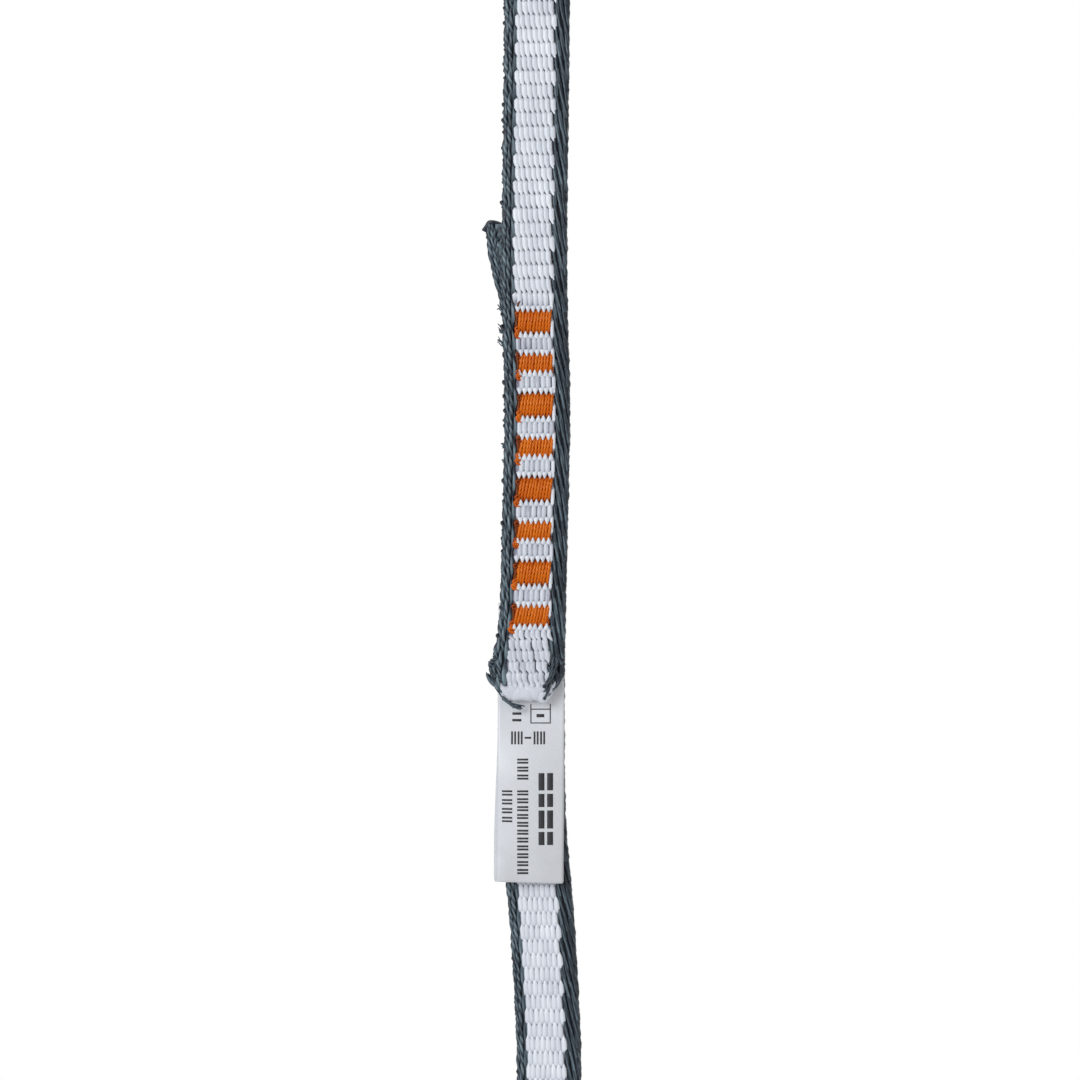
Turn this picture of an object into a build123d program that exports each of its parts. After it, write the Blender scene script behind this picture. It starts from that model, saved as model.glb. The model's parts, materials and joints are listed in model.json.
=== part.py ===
"""Sewn climbing sling: a flat loop of narrow webbing with a bar-tacked lap splice and a care label.

The loop hangs from its upper bight, with the splice half way down the front strand.
+Z is up, -Y is the face that carries the label, and the origin is the axis of the upper bight.
"""
from build123d import *
import os

os.makedirs("parts", exist_ok=True)

# ---------------------------------------------------------------- driving dimensions, millimetres
LOOP_LENGTH = 300.0          # inside length of the hanging loop, bight to bight
WEB_WIDTH = 8.0
WEB_THICKNESS = 2.0
CORE_WIDTH = 4.8             # undyed middle of the webbing
BAR_RADIUS = 6.0             # largest carabiner bar that the bights close round
SELVAGE_FILLET = 0.6

SPLICE_HALF = 40.0           # half length of the stiff stretch round the splice
LINKS_PER_QUARTER = 3        # bending stretches between the splice and each bight
BEND_GAP = 0.05              # play in the socket of a gentle bend
BIGHT_GAP = 0.16             # play in the socket of a sharp bend, next to a bight
OPEN_END_GAP = 0.6           # play where the modelled chain is left open, behind the splice

TACKS = 8
TACK_PITCH = 5.12
TACK_WIDTH = 4.6
TACK_LENGTH = 3.1
THREADS_PER_TACK = 10
THREAD_RADIUS = 0.22

LAYER_GAP = 0.3              # room between the two sewn layers for the label's end
REAR_TAIL_END = 30.0         # cut end of the rear layer, above the splice's middle
FRONT_TAIL_END = -28.0       # cut end of the front layer, below the splice's middle
JOG_LENGTH = 8.0             # length over which a strand steps back into line
JOG_RADIUS = 15.0
TAIL_MARGIN = 0.9            # from the last tack to the line where a tail bends

LABEL_WIDTH = 8.4
LABEL_SHIFT = -0.9           # the label sits towards one edge
LABEL_TAPE = 0.14
LABEL_TOP = -16.6            # upper end, held under the last tack
LABEL_EXIT = -28.45          # where the label bends out from under the front tail
LABEL_FOLD = -51.6           # folded lower end
LABEL_STANDOFF = 1.9         # how far the hanging part stands in front of the strand's middle
LABEL_KNEE = -36.5
LABEL_FOLD_RADIUS = 0.3
LABEL_PLAY = 0.08

# ---------------------------------------------------------------- worked out from them
HALF_T = WEB_THICKNESS / 2
HALF_W = WEB_WIDTH / 2
BIGHT_RADIUS = BAR_RADIUS + HALF_T
BIGHT_TO_MIDDLE = (LOOP_LENGTH - 2 * BAR_RADIUS) / 2
MIDDLE_Z = -BIGHT_TO_MIDDLE
LINK = (BIGHT_TO_MIDDLE - SPLICE_HALF) / LINKS_PER_QUARTER
LAYER_OFFSET = HALF_T + LAYER_GAP / 2
TACK_SPAN = (TACKS - 1) * TACK_PITCH
TAIL_BEND = TACK_SPAN / 2 + TACK_LENGTH / 2 + TAIL_MARGIN
FRONT_Y = -BIGHT_RADIUS
REAR_Y = BIGHT_RADIUS
ACROSS = (0, 90, 0)          # turns a cylinder's axis from Z to X, across the webbing


def bend_level(index, half):
    """Height of a strand's bend, counted from the splice (0) to the bight, in the +1 or -1 half."""
    return MIDDLE_Z + half * (SPLICE_HALF + index * LINK)


# ---------------------------------------------------------------- webbing
def webbing(name, draw_path, sockets=()):
    """One stretch of webbing: its undyed core and its two dyed selvages, round-ended along a path.

    Each socket, a centre and its play, hollows an end for the round end of the next stretch.
    """
    with BuildPart() as core:
        with BuildSketch(Plane.YZ):
            with BuildLine():
                draw_path()
                offset(amount=HALF_T, side=Side.BOTH, kind=Kind.ARC, mode=Mode.REPLACE)
            make_face()
        extrude(amount=CORE_WIDTH / 2, both=True)
        for (y, z), gap in sockets:
            with Locations((0, y, z)):
                Cylinder(HALF_T + gap, WEB_WIDTH + 1, rotation=ACROSS, mode=Mode.SUBTRACT)
    core.part.label = "core_" + name
    export_step(core.part, "parts/core_" + name + ".step")

    with BuildPart() as selvages:
        with BuildSketch(Plane.YZ.offset(CORE_WIDTH / 2)):
            with BuildLine():
                draw_path()
                offset(amount=HALF_T, side=Side.BOTH, kind=Kind.ARC, mode=Mode.REPLACE)
            make_face()
        extrude(amount=HALF_W - CORE_WIDTH / 2)
        fillet(selvages.edges().group_by(Axis.X)[-1], radius=SELVAGE_FILLET)
        mirror(about=Plane.YZ)
        for (y, z), gap in sockets:
            with Locations((0, y, z)):
                Cylinder(HALF_T + gap, WEB_WIDTH + 1, rotation=ACROSS, mode=Mode.SUBTRACT)
    selvages.part.label = "selvages_" + name
    export_step(selvages.part, "parts/selvages_" + name + ".step")


def straight(y, z_from, z_to):
    """A path straight up or down a strand."""
    return lambda: Line((y, z_from), (y, z_to))


def jogged(side, half):
    """A sewn layer's path: from the strand's line, in to its own side of the splice, to its tail."""
    layer_y = FRONT_Y + side * LAYER_OFFSET
    jog_in = REAR_TAIL_END + JOG_LENGTH

    def draw():
        corners = Polyline(
            (FRONT_Y, MIDDLE_Z + half * SPLICE_HALF),
            (FRONT_Y, MIDDLE_Z + half * jog_in),
            (layer_y, MIDDLE_Z + half * REAR_TAIL_END),
            (layer_y, MIDDLE_Z - half * TAIL_BEND),
        )
        fillet(corners.vertices().sort_by(Axis.Y)[1:3], radius=JOG_RADIUS)

    return draw


def bight(z, half):
    """A half circle round the carabiner's bar."""
    return lambda: CenterArc((0, z), BIGHT_RADIUS, 0, half * 180)


# The two layers of the splice, and the free tail of each.
webbing(
    "front_layer",
    jogged(-1, 1),
    [
        ((FRONT_Y, MIDDLE_Z + SPLICE_HALF), BEND_GAP),
        ((FRONT_Y - LAYER_OFFSET, MIDDLE_Z - TAIL_BEND), BEND_GAP),
    ],
)
webbing(
    "rear_layer",
    jogged(1, -1),
    [
        ((FRONT_Y, MIDDLE_Z - SPLICE_HALF), BEND_GAP),
        ((FRONT_Y + LAYER_OFFSET, MIDDLE_Z + TAIL_BEND), BEND_GAP),
    ],
)
webbing(
    "front_tail",
    straight(FRONT_Y - LAYER_OFFSET, MIDDLE_Z - TAIL_BEND, MIDDLE_Z + FRONT_TAIL_END + HALF_T),
)
webbing(
    "rear_tail",
    straight(FRONT_Y + LAYER_OFFSET, MIDDLE_Z + TAIL_BEND, MIDDLE_Z + REAR_TAIL_END - HALF_T),
)

# The upper and lower halves of the loop, each a chain from the splice round its bight to the back.
for half, half_name in ((1, "upper"), (-1, "lower")):
    for index in range(LINKS_PER_QUARTER):
        near = bend_level(index, half)
        far = bend_level(index + 1, half)
        far_gap = BIGHT_GAP if index == LINKS_PER_QUARTER - 1 else BEND_GAP
        near_gap = BEND_GAP
        webbing(
            f"{half_name}_front_{index + 1}",
            straight(FRONT_Y, near, far),
            [((FRONT_Y, far), far_gap)],
        )
        webbing(
            f"{half_name}_rear_{index + 1}",
            straight(REAR_Y, far, near),
            [((REAR_Y, near), near_gap)],
        )
    bight_z = bend_level(LINKS_PER_QUARTER, half)
    webbing(f"{half_name}_bight", bight(bight_z, half), [((REAR_Y, bight_z), BIGHT_GAP)])
    open_end = MIDDLE_Z + half * (OPEN_END_GAP / 2 + HALF_T)
    webbing(f"{half_name}_rear_middle", straight(REAR_Y, bend_level(0, half), open_end))


# ---------------------------------------------------------------- bar tacks
def bar_tack(number):
    """One bar tack: close-set stitches lying on the front and on the rear face of the splice."""
    middle = MIDDLE_Z + TACK_SPAN / 2 - (number - 1) * TACK_PITCH
    thread_pitch = TACK_WIDTH / THREADS_PER_TACK
    front_face = FRONT_Y - LAYER_OFFSET - HALF_T
    rear_face = FRONT_Y + LAYER_OFFSET + HALF_T
    with BuildPart() as tack:
        with BuildSketch(Plane.XY.offset(middle - TACK_LENGTH / 2)):
            for face in (front_face, rear_face):
                with Locations((0, face)):
                    with GridLocations(thread_pitch, 1, THREADS_PER_TACK, 1):
                        Circle(THREAD_RADIUS)
            with Locations((0, (front_face + rear_face) / 2)):
                Rectangle(WEB_WIDTH, rear_face - front_face, mode=Mode.SUBTRACT)
        extrude(amount=TACK_LENGTH)
    tack.part.label = f"bar_tack_{number}"
    export_step(tack.part, f"parts/bar_tack_{number}.step")


for tack_number in range(1, TACKS + 1):
    bar_tack(tack_number)


# ---------------------------------------------------------------- label
LABEL_LEFT = LABEL_SHIFT - LABEL_WIDTH / 2

# The two plies of tape pressed flat between the sewn layers.
with BuildPart() as label_sewn_end:
    with BuildSketch(Plane.YZ.offset(LABEL_LEFT)):
        with BuildLine():
            Line((FRONT_Y, MIDDLE_Z + LABEL_TOP), (FRONT_Y, MIDDLE_Z + LABEL_EXIT + LABEL_TAPE))
            offset(amount=LABEL_TAPE, side=Side.BOTH, kind=Kind.ARC, mode=Mode.REPLACE)
        make_face()
        with Locations((FRONT_Y, MIDDLE_Z + LABEL_EXIT)):
            Circle(LABEL_TAPE + LABEL_PLAY, mode=Mode.SUBTRACT)
    extrude(amount=LABEL_WIDTH)
label_sewn_end.part.label = "label_sewn_end"
export_step(label_sewn_end.part, "parts/label_sewn_end.step")

# The hanging part: the tape runs down in front, round the fold, and back up behind.
with BuildPart() as label_flap:
    hang_y = FRONT_Y - LABEL_STANDOFF
    top_z = MIDDLE_Z + LABEL_EXIT
    knee_z = MIDDLE_Z + LABEL_KNEE
    fold_z = MIDDLE_Z + LABEL_FOLD + LABEL_FOLD_RADIUS + LABEL_TAPE / 2
    with BuildSketch(Plane.YZ.offset(LABEL_LEFT)):
        for ply in (-1, 1):
            with BuildLine():
                Polyline(
                    (FRONT_Y + ply * LABEL_TAPE / 2, top_z),
                    (hang_y + ply * LABEL_FOLD_RADIUS, knee_z),
                    (hang_y + ply * LABEL_FOLD_RADIUS, fold_z),
                )
                offset(amount=LABEL_TAPE / 2, side=Side.BOTH, kind=Kind.ARC, mode=Mode.REPLACE)
            make_face()
        with BuildLine():
            CenterArc((hang_y, fold_z), LABEL_FOLD_RADIUS, 180, 180)
            offset(amount=LABEL_TAPE / 2, side=Side.BOTH, kind=Kind.ARC, mode=Mode.REPLACE)
        make_face()
        with Locations((FRONT_Y, top_z)):
            Circle(LABEL_TAPE)
    extrude(amount=LABEL_WIDTH)
label_flap.part.label = "label_flap"
export_step(label_flap.part, "parts/label_flap.step")
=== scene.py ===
"""Looks of a sewn climbing sling: woven yarns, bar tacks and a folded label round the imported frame.

Lengths are in millimetres until a mesh is made. The webbing is one long band. A point of it is given
by s along the band from the splice's middle, u across it (+X) and n out of its outer face.
"""
import json
import math
import bpy
import numpy as np
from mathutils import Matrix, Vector


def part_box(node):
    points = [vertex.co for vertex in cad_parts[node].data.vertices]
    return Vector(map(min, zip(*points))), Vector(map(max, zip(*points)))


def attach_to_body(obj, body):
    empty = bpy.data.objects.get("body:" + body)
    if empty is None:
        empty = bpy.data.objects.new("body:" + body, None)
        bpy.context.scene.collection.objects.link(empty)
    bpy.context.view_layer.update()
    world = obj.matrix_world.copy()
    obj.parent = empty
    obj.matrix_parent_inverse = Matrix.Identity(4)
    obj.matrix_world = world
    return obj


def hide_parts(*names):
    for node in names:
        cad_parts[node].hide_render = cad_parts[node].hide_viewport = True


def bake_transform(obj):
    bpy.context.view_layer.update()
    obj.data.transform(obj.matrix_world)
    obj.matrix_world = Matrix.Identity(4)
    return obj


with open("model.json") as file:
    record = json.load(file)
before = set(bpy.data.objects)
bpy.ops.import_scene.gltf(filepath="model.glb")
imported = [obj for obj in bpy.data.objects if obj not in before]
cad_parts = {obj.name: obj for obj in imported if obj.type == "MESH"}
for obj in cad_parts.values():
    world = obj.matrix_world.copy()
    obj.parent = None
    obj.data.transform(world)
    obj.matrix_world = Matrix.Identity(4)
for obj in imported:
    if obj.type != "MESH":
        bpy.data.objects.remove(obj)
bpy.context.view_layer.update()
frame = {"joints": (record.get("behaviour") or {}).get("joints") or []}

MM = 0.001
RNG = np.random.default_rng(8)

# ---------------------------------------------------------------- sizes taken from the frame
JOINTS = {joint["name"]: joint for joint in frame["joints"]}


def joint_at(name):
    """A hinge's y and z, in millimetres."""
    return np.array(JOINTS[name]["pos_m"][1:]) / MM


def size_of(node):
    """A CAD node's width, depth and height, in millimetres."""
    low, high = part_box(node)
    return np.array(high - low) / MM


FRONT_Y = joint_at("loop_open")[0]
REAR_Y = -FRONT_Y
MIDDLE_Z = (joint_at("loop_open")[1] + joint_at("lower_front_1_bend")[1]) / 2
SPLICE_HALF = joint_at("loop_open")[1] - MIDDLE_Z
LINK = joint_at("upper_front_2_bend")[1] - joint_at("loop_open")[1]
TOP_Z = joint_at("upper_bight_bend")[1]
BOTTOM_Z = joint_at("lower_bight_bend")[1]
PRESSED = 0.9  # the sewn layers' distance as a part of the CAD's, so that they touch
LAYER_OFFSET = PRESSED * (FRONT_Y - joint_at("front_tail_lift")[0])
TAIL_BEND = joint_at("rear_tail_lift")[1] - MIDDLE_Z
HALF_T = size_of("core_upper_front_1")[1] / 2
CORE_HALF = size_of("core_upper_front_1")[0] / 2
WEB_HALF = size_of("selvages_upper_front_1")[0] / 2
REAR_TAIL_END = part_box("core_rear_tail")[1].z / MM - MIDDLE_Z
FRONT_TAIL_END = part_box("core_front_tail")[0].z / MM - MIDDLE_Z
TACK_MIDDLES = [
    (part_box(f"bar_tack_{n}")[0].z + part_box(f"bar_tack_{n}")[1].z) / 2 / MM - MIDDLE_Z
    for n in range(1, 9)
]
TACK_LENGTH = size_of("bar_tack_1")[2]
ROWS_PER_TACK = 3
ROW = (TACK_MIDDLES[0] - TACK_MIDDLES[1]) / ROWS_PER_TACK
JOG = 8.0  # length over which a sewn layer steps back into line
CORE_MIDDLE = -0.25  # the undyed core lies a little left of the band's middle
CORE_LEFT = CORE_MIDDLE - CORE_HALF
CORE_RIGHT = CORE_MIDDLE + CORE_HALF


def smooth(low, high, value):
    """0 below low, 1 above high, and a smooth step between them. low may be the larger."""
    t = np.clip((np.asarray(value, float) - low) / (np.asarray(high) - low), 0, 1)
    return t * t * (3 - 2 * t)


def mix(a, b, weight):
    """a where the weight is 0, b where it is 1."""
    return a * (1 - weight) + b * weight


# ---------------------------------------------------------------- the band's path
STEP = 0.1  # spacing of the path's points
SPARE = 3.0  # length of path beyond each cut end


def build_path():
    """The band's middle line from the front tail's tip round the loop to the rear tail's tip."""
    up = np.arange(FRONT_TAIL_END - SPARE, TOP_Z - MIDDLE_Z, STEP)
    front_y = FRONT_Y - LAYER_OFFSET * (1 - smooth(REAR_TAIL_END, REAR_TAIL_END + JOG, up))
    turn = np.linspace(math.pi, 0, int(math.pi * REAR_Y / STEP))
    down = np.arange(TOP_Z, BOTTOM_Z, -STEP)
    back_up = np.arange(BOTTOM_Z - MIDDLE_Z, REAR_TAIL_END + SPARE, STEP)
    rear_layer_y = FRONT_Y + LAYER_OFFSET * smooth(-REAR_TAIL_END - JOG, -REAR_TAIL_END, back_up)
    y, z = np.concatenate([
        (front_y, up + MIDDLE_Z),
        (REAR_Y * np.cos(turn), TOP_Z + REAR_Y * np.sin(turn)),
        (np.full(len(down), REAR_Y), down),
        (REAR_Y * np.cos(turn[::-1]), BOTTOM_Z - REAR_Y * np.sin(turn)),
        (rear_layer_y, back_up + MIDDLE_Z),
    ], axis=1)
    # Where two stretches meet, a point that comes twice is dropped.
    keep = np.concatenate([[True], np.hypot(np.diff(y), np.diff(z)) > STEP / 4])
    y, z = y[keep], z[keep]
    s = np.concatenate([[0], np.cumsum(np.hypot(np.diff(y), np.diff(z)))])
    s -= np.interp(MIDDLE_Z, z[: len(up)], s[: len(up)])
    return s, y, z


def path_at(y, z):
    """s where the path passes a point."""
    return PATH_S[np.argmin(np.hypot(PATH_Y - y, PATH_Z - z))]


PATH_S, PATH_Y, PATH_Z = build_path()
UPPER_IN, UPPER_OUT = path_at(FRONT_Y, TOP_Z), path_at(REAR_Y, TOP_Z)
LOWER_IN, LOWER_OUT = path_at(REAR_Y, BOTTOM_Z), path_at(FRONT_Y, BOTTOM_Z)
HALF_WAY = (UPPER_OUT + LOWER_IN) / 2
TANGENT_Y = np.gradient(PATH_Y, PATH_S)
TANGENT_Z = np.gradient(PATH_Z, PATH_S)
BAND_END = PATH_S[-1] - SPARE
BAND_START = FRONT_TAIL_END


def rear_layer_s(height):
    """The band's s in the rear layer, at a height above the splice's middle."""
    return BAND_END - (REAR_TAIL_END - height)


# Sideways shift of a strand (right) at heights from the splice's middle (left).
WANDER = (
    (-144, 0.0), (-110, 0.9), (-90, 1.5), (-72, 1.6), (-65, 1.3), (-60, 1.0), (-53, 0.55), (-50, 0.2),
    (-45, -0.3), (-38, -0.5), (-24, -0.5), (-16, -0.35), (-4, -0.05), (8, 0.2), (14, 0.0), (20, -0.2),
    (33, -0.18), (45, 0.0), (60, 0.15), (100, 0.1), (144, 0.0),
)
WANDER_BLUR = 4.0
FULL_ROLL = math.radians(11)  # the turn of the strand below the label
FRONT_SWAY_FROM_TO = (-15.5, -25.0)
FRONT_LEAN = -0.35  # the front tail's sway to the side,
FRONT_SPREAD = 0.08  # its widening per millimetre off the middle,
FRONT_SPLAY = 0.6  # and the extra sway of its left selvage,
SPLAY_FROM_TO = (-20.5, -26.3)
REAR_SWAY_FROM_TO = (17.3, 29.0)
REAR_SWAY = -1.95  # the sway of the rear tail's left edge,
REAR_NARROWING = 0.45  # and how much less the rest of it sways
CORNER_DRAW = 1.1


def wander(height):
    """How far a strand hangs off its straight line, to the side, at a height from the splice's middle."""
    knots, shift = zip(*WANDER)
    wide = np.linspace(-WANDER_BLUR, WANDER_BLUR, 9)
    return sum(np.interp(np.asarray(height) + w, knots, shift) for w in wide) / len(wide)


def roll(height):
    """How far a strand turns about its length there, in radians."""
    return FULL_ROLL * smooth(-42, -66, height) * smooth(-130, -100, height)


def tail_sway(s, u):
    """Sideways lean of the two cut tails, whose yarns spread once the stitching has ended."""
    spread = smooth(*FRONT_SWAY_FROM_TO, s)
    outward = np.clip((-u - CORE_HALF) / (WEB_HALF - CORE_HALF), 0, 1.3)
    splay = smooth(*SPLAY_FROM_TO, s) * outward
    front = spread * (FRONT_LEAN + FRONT_SPREAD * u) - FRONT_SPLAY * splay
    rear = REAR_SWAY * smooth(*REAR_SWAY_FROM_TO, s - rear_layer_s(0))
    rear = rear * (1 - REAR_NARROWING * smooth(-3.0, -2.2, u))
    return np.where(s < 0, front, 0) + np.where(s > rear_layer_s(-45), rear, 0)


def corner_lift(s, u):
    """How far the heat of the cut has drawn the front tail's corners back up the strand."""
    past = np.clip(np.abs(u - CORE_MIDDLE) - CORE_HALF + 0.2, 0, 2)
    return CORNER_DRAW * past ** 1.3 * smooth(FRONT_TAIL_END + 7.0, FRONT_TAIL_END - 0.2, s)


def place(s, u, n):
    """Band coordinates to the part's own x, y and z, in metres."""
    s = s + corner_lift(s, u)
    y = np.interp(s, PATH_S, PATH_Y)
    z = np.interp(s, PATH_S, PATH_Z)
    ty = np.interp(s, PATH_S, TANGENT_Y)
    tz = np.interp(s, PATH_S, TANGENT_Z)
    length = np.hypot(ty, tz)
    height = z - MIDDLE_Z
    angle = roll(height)
    across = u * np.cos(angle) - n * np.sin(angle)
    out = n * np.cos(angle) + u * np.sin(angle)
    x = wander(height) + tail_sway(s, u) + across
    return np.stack([x, y - out * tz / length, z + out * ty / length], -1) * MM


# ---------------------------------------------------------------- mesh building
END_RING = 0.02  # an extra ring this part of a step from each end keeps the shading level at a cut
SEEN_OVER = 12  # degrees past level that a yarn's visible side reaches


def ring_angles(sides, face):
    """Corner directions of a yarn's ring. With a face (+1 or -1) most of them look out of that face."""
    if face == 0:
        return 2 * math.pi * np.arange(sides) / sides
    seen = np.radians(np.linspace(-SEEN_OVER, 180 + SEEN_OVER, sides - 1))
    around = np.append(seen, math.radians(270))
    return around if face > 0 else -around


def added(name, data):
    """An object in the scene round some data."""
    obj = bpy.data.objects.new(name, data)
    bpy.context.scene.collection.objects.link(obj)
    return obj


def face_out(corners):
    """Whether a tube's walls, an array of (walls, 4, 3) corners, face out: they hold a volume over zero."""
    a, b, c, d = (corners - corners.mean(axis=(0, 1))).transpose(1, 0, 2)
    return np.sum(np.cross(c - a, d - b) * (a + b + c + d)) > 0


def turned_over(faces):
    """The same faces, facing the other way, each with the same first corner."""
    return np.roll(faces[:, ::-1], 1, axis=1)


class Weave:
    """Gathers closed tubes in band coordinates and makes one mesh of them."""

    def __init__(self, to_world=place):
        self.to_world = to_world
        self.points, self.quads, self.caps, self.shades, self.rests = [], [], [], [], []
        self.count = 0

    def rings(self, band, shade):
        """A closed tube from rings of points, an array of (rings, sides, 3) band coordinates."""
        shade = np.asarray(shade, float)
        shade = np.broadcast_to(shade[:, None] if shade.ndim == 1 else shade, band.shape[:2])
        first = band[0] + (band[1] - band[0]) * END_RING
        last = band[-1] + (band[-2] - band[-1]) * END_RING
        band = np.concatenate([band[:1], first[None], band[1:-1], last[None], band[-1:]])
        shade = np.concatenate([shade[:1], shade[:1], shade[1:-1], shade[-1:], shade[-1:]])
        rings, sides = band.shape[:2]
        index = self.count + np.arange(rings * sides).reshape(rings, sides)
        turned = np.roll(index, -1, axis=1)
        walls = np.stack([index[:-1], turned[:-1], turned[1:], index[1:]], -1).reshape(-1, 4)
        fan = np.arange(1, sides - 1)
        first_cap, last_cap = (
            np.stack([np.full(len(fan), ring[0]), ring[a], ring[b]], -1)
            for ring, a, b in ((index[0], fan + 1, fan), (index[-1], fan, fan + 1))
        )
        flat = band.reshape(-1, 3)
        points = self.to_world(flat[:, 0], flat[:, 1], flat[:, 2])
        if not face_out(points[walls - self.count]):
            walls, first_cap, last_cap = map(turned_over, (walls, first_cap, last_cap))
        self.quads.append(walls)
        self.caps += [first_cap, last_cap]
        self.points.append(points)
        self.rests.append(flat)
        self.shades.append(shade.ravel())
        self.count += rings * sides

    def tube(self, s, u, n, across, deep, sides=8, face=0, shade=0.5,
             lobes=0, depth=0.0, twist=0.0, phase=0.0, groove_shade=0.0, flank_shade=0.0):
        """A yarn along the band. Lobes and twist (radians per millimetre) show its plies, with painted shade
        in the grooves between them and down the yarn's sides.
        """
        s, u, n, across, deep, shade = (
            np.broadcast_to(np.asarray(v, float), np.shape(s))[:, None]
            for v in (s, u, n, across, deep, shade)
        )
        angle = ring_angles(sides, face)[None, :]
        ply = np.cos(lobes * (angle - twist * s - phase)) if lobes else 0 * angle
        swell = 1 + depth * ply
        ring_u = u + across * swell * np.cos(angle)
        ring_n = n + deep * swell * np.sin(angle)
        ring_s = np.broadcast_to(s, ring_u.shape)
        # Painted shade: darker in the grooves between the plies and down the yarn's sides.
        tone = shade + groove_shade * (ply - 1) / 2 - flank_shade * (1 - np.abs(np.sin(angle))) ** 2
        self.rings(np.stack([ring_s, ring_u, ring_n], -1), np.broadcast_to(tone, ring_u.shape))

    def strand(self, line, radius, sides=6, shade=0.5, lobes=0, depth=0.0, turns=0.0, groove_shade=0.0):
        """A thread along any line of (s, u, n) points, with a radius at each point."""
        line = np.asarray(line, float)
        radius = np.broadcast_to(radius, len(line))
        along = np.gradient(line, axis=0)
        along /= np.linalg.norm(along, axis=1)[:, None]
        side = np.cross(along, (0, 0, 1.0))
        weak = np.linalg.norm(side, axis=1) < 0.2
        side[weak] = np.cross(along[weak], (1.0, 0, 0))
        side /= np.linalg.norm(side, axis=1)[:, None]
        up = np.cross(side, along)
        angle = 2 * math.pi * np.arange(sides) / sides
        spin = turns * 2 * math.pi * np.linspace(0, 1, len(line))
        ply = np.cos(lobes * (angle[None, :] - spin[:, None])) if lobes else np.zeros((len(line), sides))
        reach = (radius[:, None] * (1 + depth * ply))[..., None]
        ring = line[:, None] + reach * np.cos(angle)[None, :, None] * side[:, None]
        ring = ring + reach * np.sin(angle)[None, :, None] * up[:, None]
        shade = np.broadcast_to(shade, len(line))[:, None]
        # Painted shade in the grooves between the plies.
        self.rings(ring, shade + groove_shade * (ply - 1) / 2)

    def piece(self, name, look):
        """One object from everything gathered, with its look's material."""
        quads = np.concatenate(self.quads).tolist()
        caps = np.concatenate(self.caps).tolist()
        mesh = bpy.data.meshes.new(name)
        mesh.from_pydata(np.concatenate(self.points), [], quads + caps)
        mesh.polygons.foreach_set("use_smooth", np.arange(len(mesh.polygons)) < len(quads))
        mesh.validate()
        shade = mesh.attributes.new("shade", "FLOAT", "POINT")
        shade.data.foreach_set("value", np.concatenate(self.shades).astype(np.float32))
        rest = mesh.attributes.new("rest", "FLOAT_VECTOR", "POINT")
        rest.data.foreach_set("vector", np.concatenate(self.rests).astype(np.float32).ravel())
        mesh.materials.append(LOOKS[look])
        obj = added(name, mesh)
        return obj

    def riding(self, name, look, body):
        """One object, fixed to a body."""
        obj = self.piece(name, look)
        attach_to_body(obj, body)
        return obj


# ---------------------------------------------------------------- materials
class Nodes:
    """The node tree of a material or a world, while it is built."""

    def __init__(self, owner):
        owner.use_nodes = True
        self.tree = owner.node_tree

    def node(self, kind, inputs, **settings):
        """A node of a kind. Inputs that are sockets are linked, the others are values."""
        made = self.tree.nodes.new("ShaderNode" + kind)
        for name, value in settings.items():
            setattr(made, name, value)
        self.feed(made, inputs)
        return made

    def feed(self, node, inputs):
        """Links or sets a node's inputs."""
        for name, value in inputs.items():
            if isinstance(value, bpy.types.NodeSocket):
                self.tree.links.new(value, node.inputs[name])
            else:
                node.inputs[name].default_value = value


class Paint(Nodes):
    """A material, patterned by the mesh attributes shade and rest."""

    def __init__(self, name):
        self.material = bpy.data.materials.new(name)
        super().__init__(self.material)
        self.shader = self.tree.nodes["Principled BSDF"]
        self.rest = self.attribute("rest").outputs["Vector"]

    def attribute(self, name):
        """A mesh attribute's node."""
        return self.node("Attribute", {}, attribute_name=name)

    def noise(self, scale, detail, stretch=None):
        """Noise over the rest coordinates, which may be stretched along some axes."""
        where = self.rest
        if stretch is not None:
            where = self.node("Mapping", {"Vector": where, "Scale": stretch}).outputs["Vector"]
        noise = {"Vector": where, "Scale": scale, "Detail": detail}
        return self.node("TexNoise", noise).outputs["Fac"]

    def maths(self, operation, *values, clamp=False):
        """A sum or product of sockets and numbers."""
        return self.node("Math", dict(enumerate(values)), operation=operation, use_clamp=clamp).outputs[0]

    def ramp(self, factor, stops):
        """A colour between stops, each a position and a colour, in rising order."""
        made = self.node("ValToRGB", {"Fac": factor})
        ramp = made.color_ramp
        while len(ramp.elements) < len(stops):
            ramp.elements.new(0.5)
        for element, (position, colour) in zip(ramp.elements, stops):
            element.position = position
            element.color = (*colour, 1)
        return made.outputs["Color"]

    def bump(self, height, strength, distance):
        """A normal that follows a height, with the distance in millimetres."""
        relief = {"Height": height, "Strength": strength, "Distance": distance * MM}
        return self.node("Bump", relief).outputs["Normal"]


FILAMENTS = (0.7, 16.0, 16.0)  # noise waves per millimetre, along a yarn and across it
CLOUDS = 0.35
GAP_SHADE_END = 0.18  # the tone below which a yarn fades into the painted shade of a gap
COAT_ROUGHNESS = 0.25
SHEEN_ROUGHNESS = 0.4


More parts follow.
